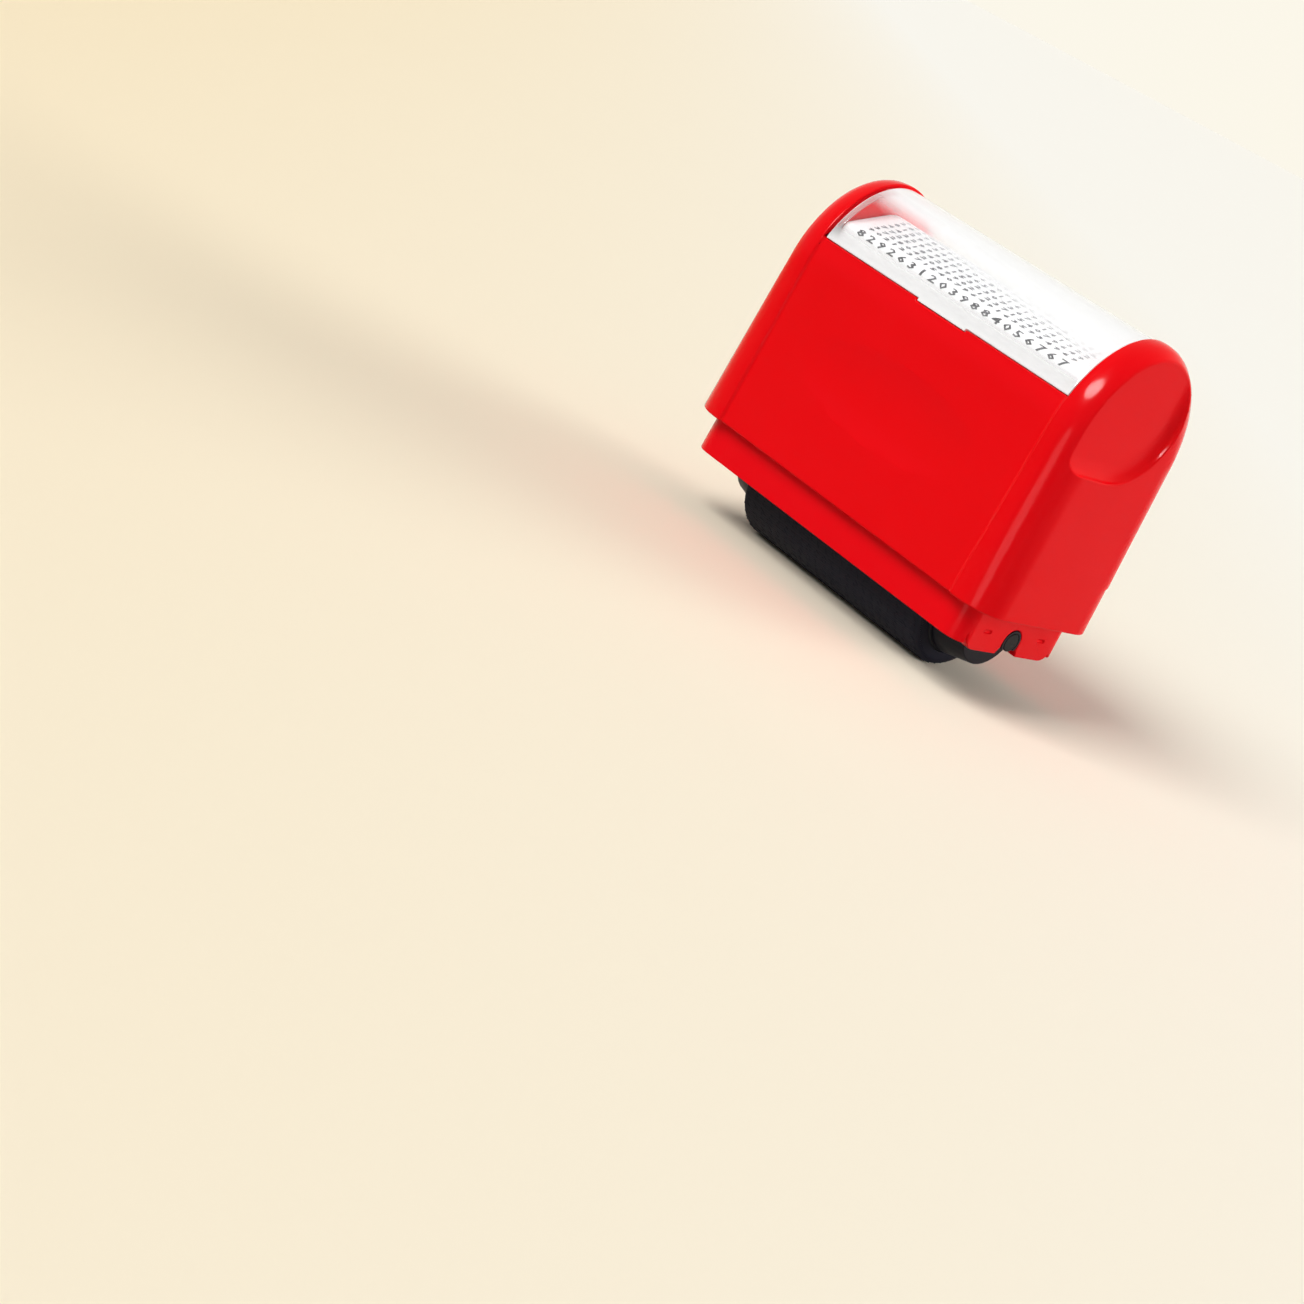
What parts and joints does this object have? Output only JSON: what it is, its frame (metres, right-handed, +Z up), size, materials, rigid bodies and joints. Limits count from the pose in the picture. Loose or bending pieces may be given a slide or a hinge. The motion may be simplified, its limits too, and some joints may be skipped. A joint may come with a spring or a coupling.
{
  "type": "roller stamp",
  "caption": "Hand-held self-inking roller stamp: arched housing with a clear label window and a pull-out cartridge holding a printing drum and a sprung ink roller.",
  "frame": {"origin": "centre of the footprint on the table, under the printing drum's line of contact", "axes": "+X along the rollers, -Y the front with the pry notch, +Z up through the window"},
  "size_m": [0.062, 0.0288, 0.0546],
  "materials": {
    "red_plastic": "gloss",
    "clear_plastic": "gloss",
    "white_card": "matte",
    "white_plastic": "satin",
    "black_plastic": "satin",
    "black_rubber": "matte",
    "grey_foam": "matte",
    "inked_felt": "matte",
    "spring_steel": "satin",
    "black_steel": "satin"
  },
  "bodies": {
    "housing": {"housing_shell": "red_plastic", "label_card": "white_card"},
    "window": {"window_cover": "clear_plastic"},
    "cartridge": {"roller_frame": "red_plastic", "spring_plate": "white_plastic", "ink_spring_left": "spring_steel", "ink_spring_right": "spring_steel", "axle_bush_left": "black_plastic", "axle_bush_right": "black_plastic"},
    "cradle": {"ink_cradle": "white_plastic"},
    "ink_roller": {"ink_axle": "spring_steel", "ink_core": "white_plastic", "ink_felt": "inked_felt", "ink_cap_left": "white_plastic", "ink_cap_right": "white_plastic"},
    "drum": {"drum_axle": "black_steel", "drum_core": "black_plastic", "drum_cushion": "grey_foam", "stamp_sleeve": "black_rubber", "drum_hub_left": "black_plastic", "drum_hub_right": "black_plastic"}
  },
  "joints": [
    {"name": "cartridge_slide", "type": "slide", "parent": "housing", "child": "cartridge", "axis": [0, 0, -1], "range_m": [0, 0.032]},
    {"name": "window_lift", "type": "slide", "parent": "housing", "child": "window", "axis": [0, 0, 1], "range_m": [0, 0.012]},
    {"name": "drum_spin", "type": "hinge", "parent": "cartridge", "child": "drum", "pos_m": [0, 0, 0.0093], "axis": [1, 0, 0], "continuous": true},
    {"name": "cradle_lift", "type": "slide", "parent": "cartridge", "child": "cradle", "axis": [0, 0, 1], "range_m": [0, 0.001], "stiffness_N_per_m": 600, "springref_m": -0.002, "deforming": ["ink_spring_left", "ink_spring_right"]},
    {"name": "ink_spin", "type": "hinge", "parent": "cradle", "child": "ink_roller", "pos_m": [0, 0, 0.02555], "axis": [1, 0, 0], "continuous": true}
  ],
  "couplings": [
    {"joint": "ink_spin", "follows": "drum_spin", "ratio": -1.3677}
  ]
}
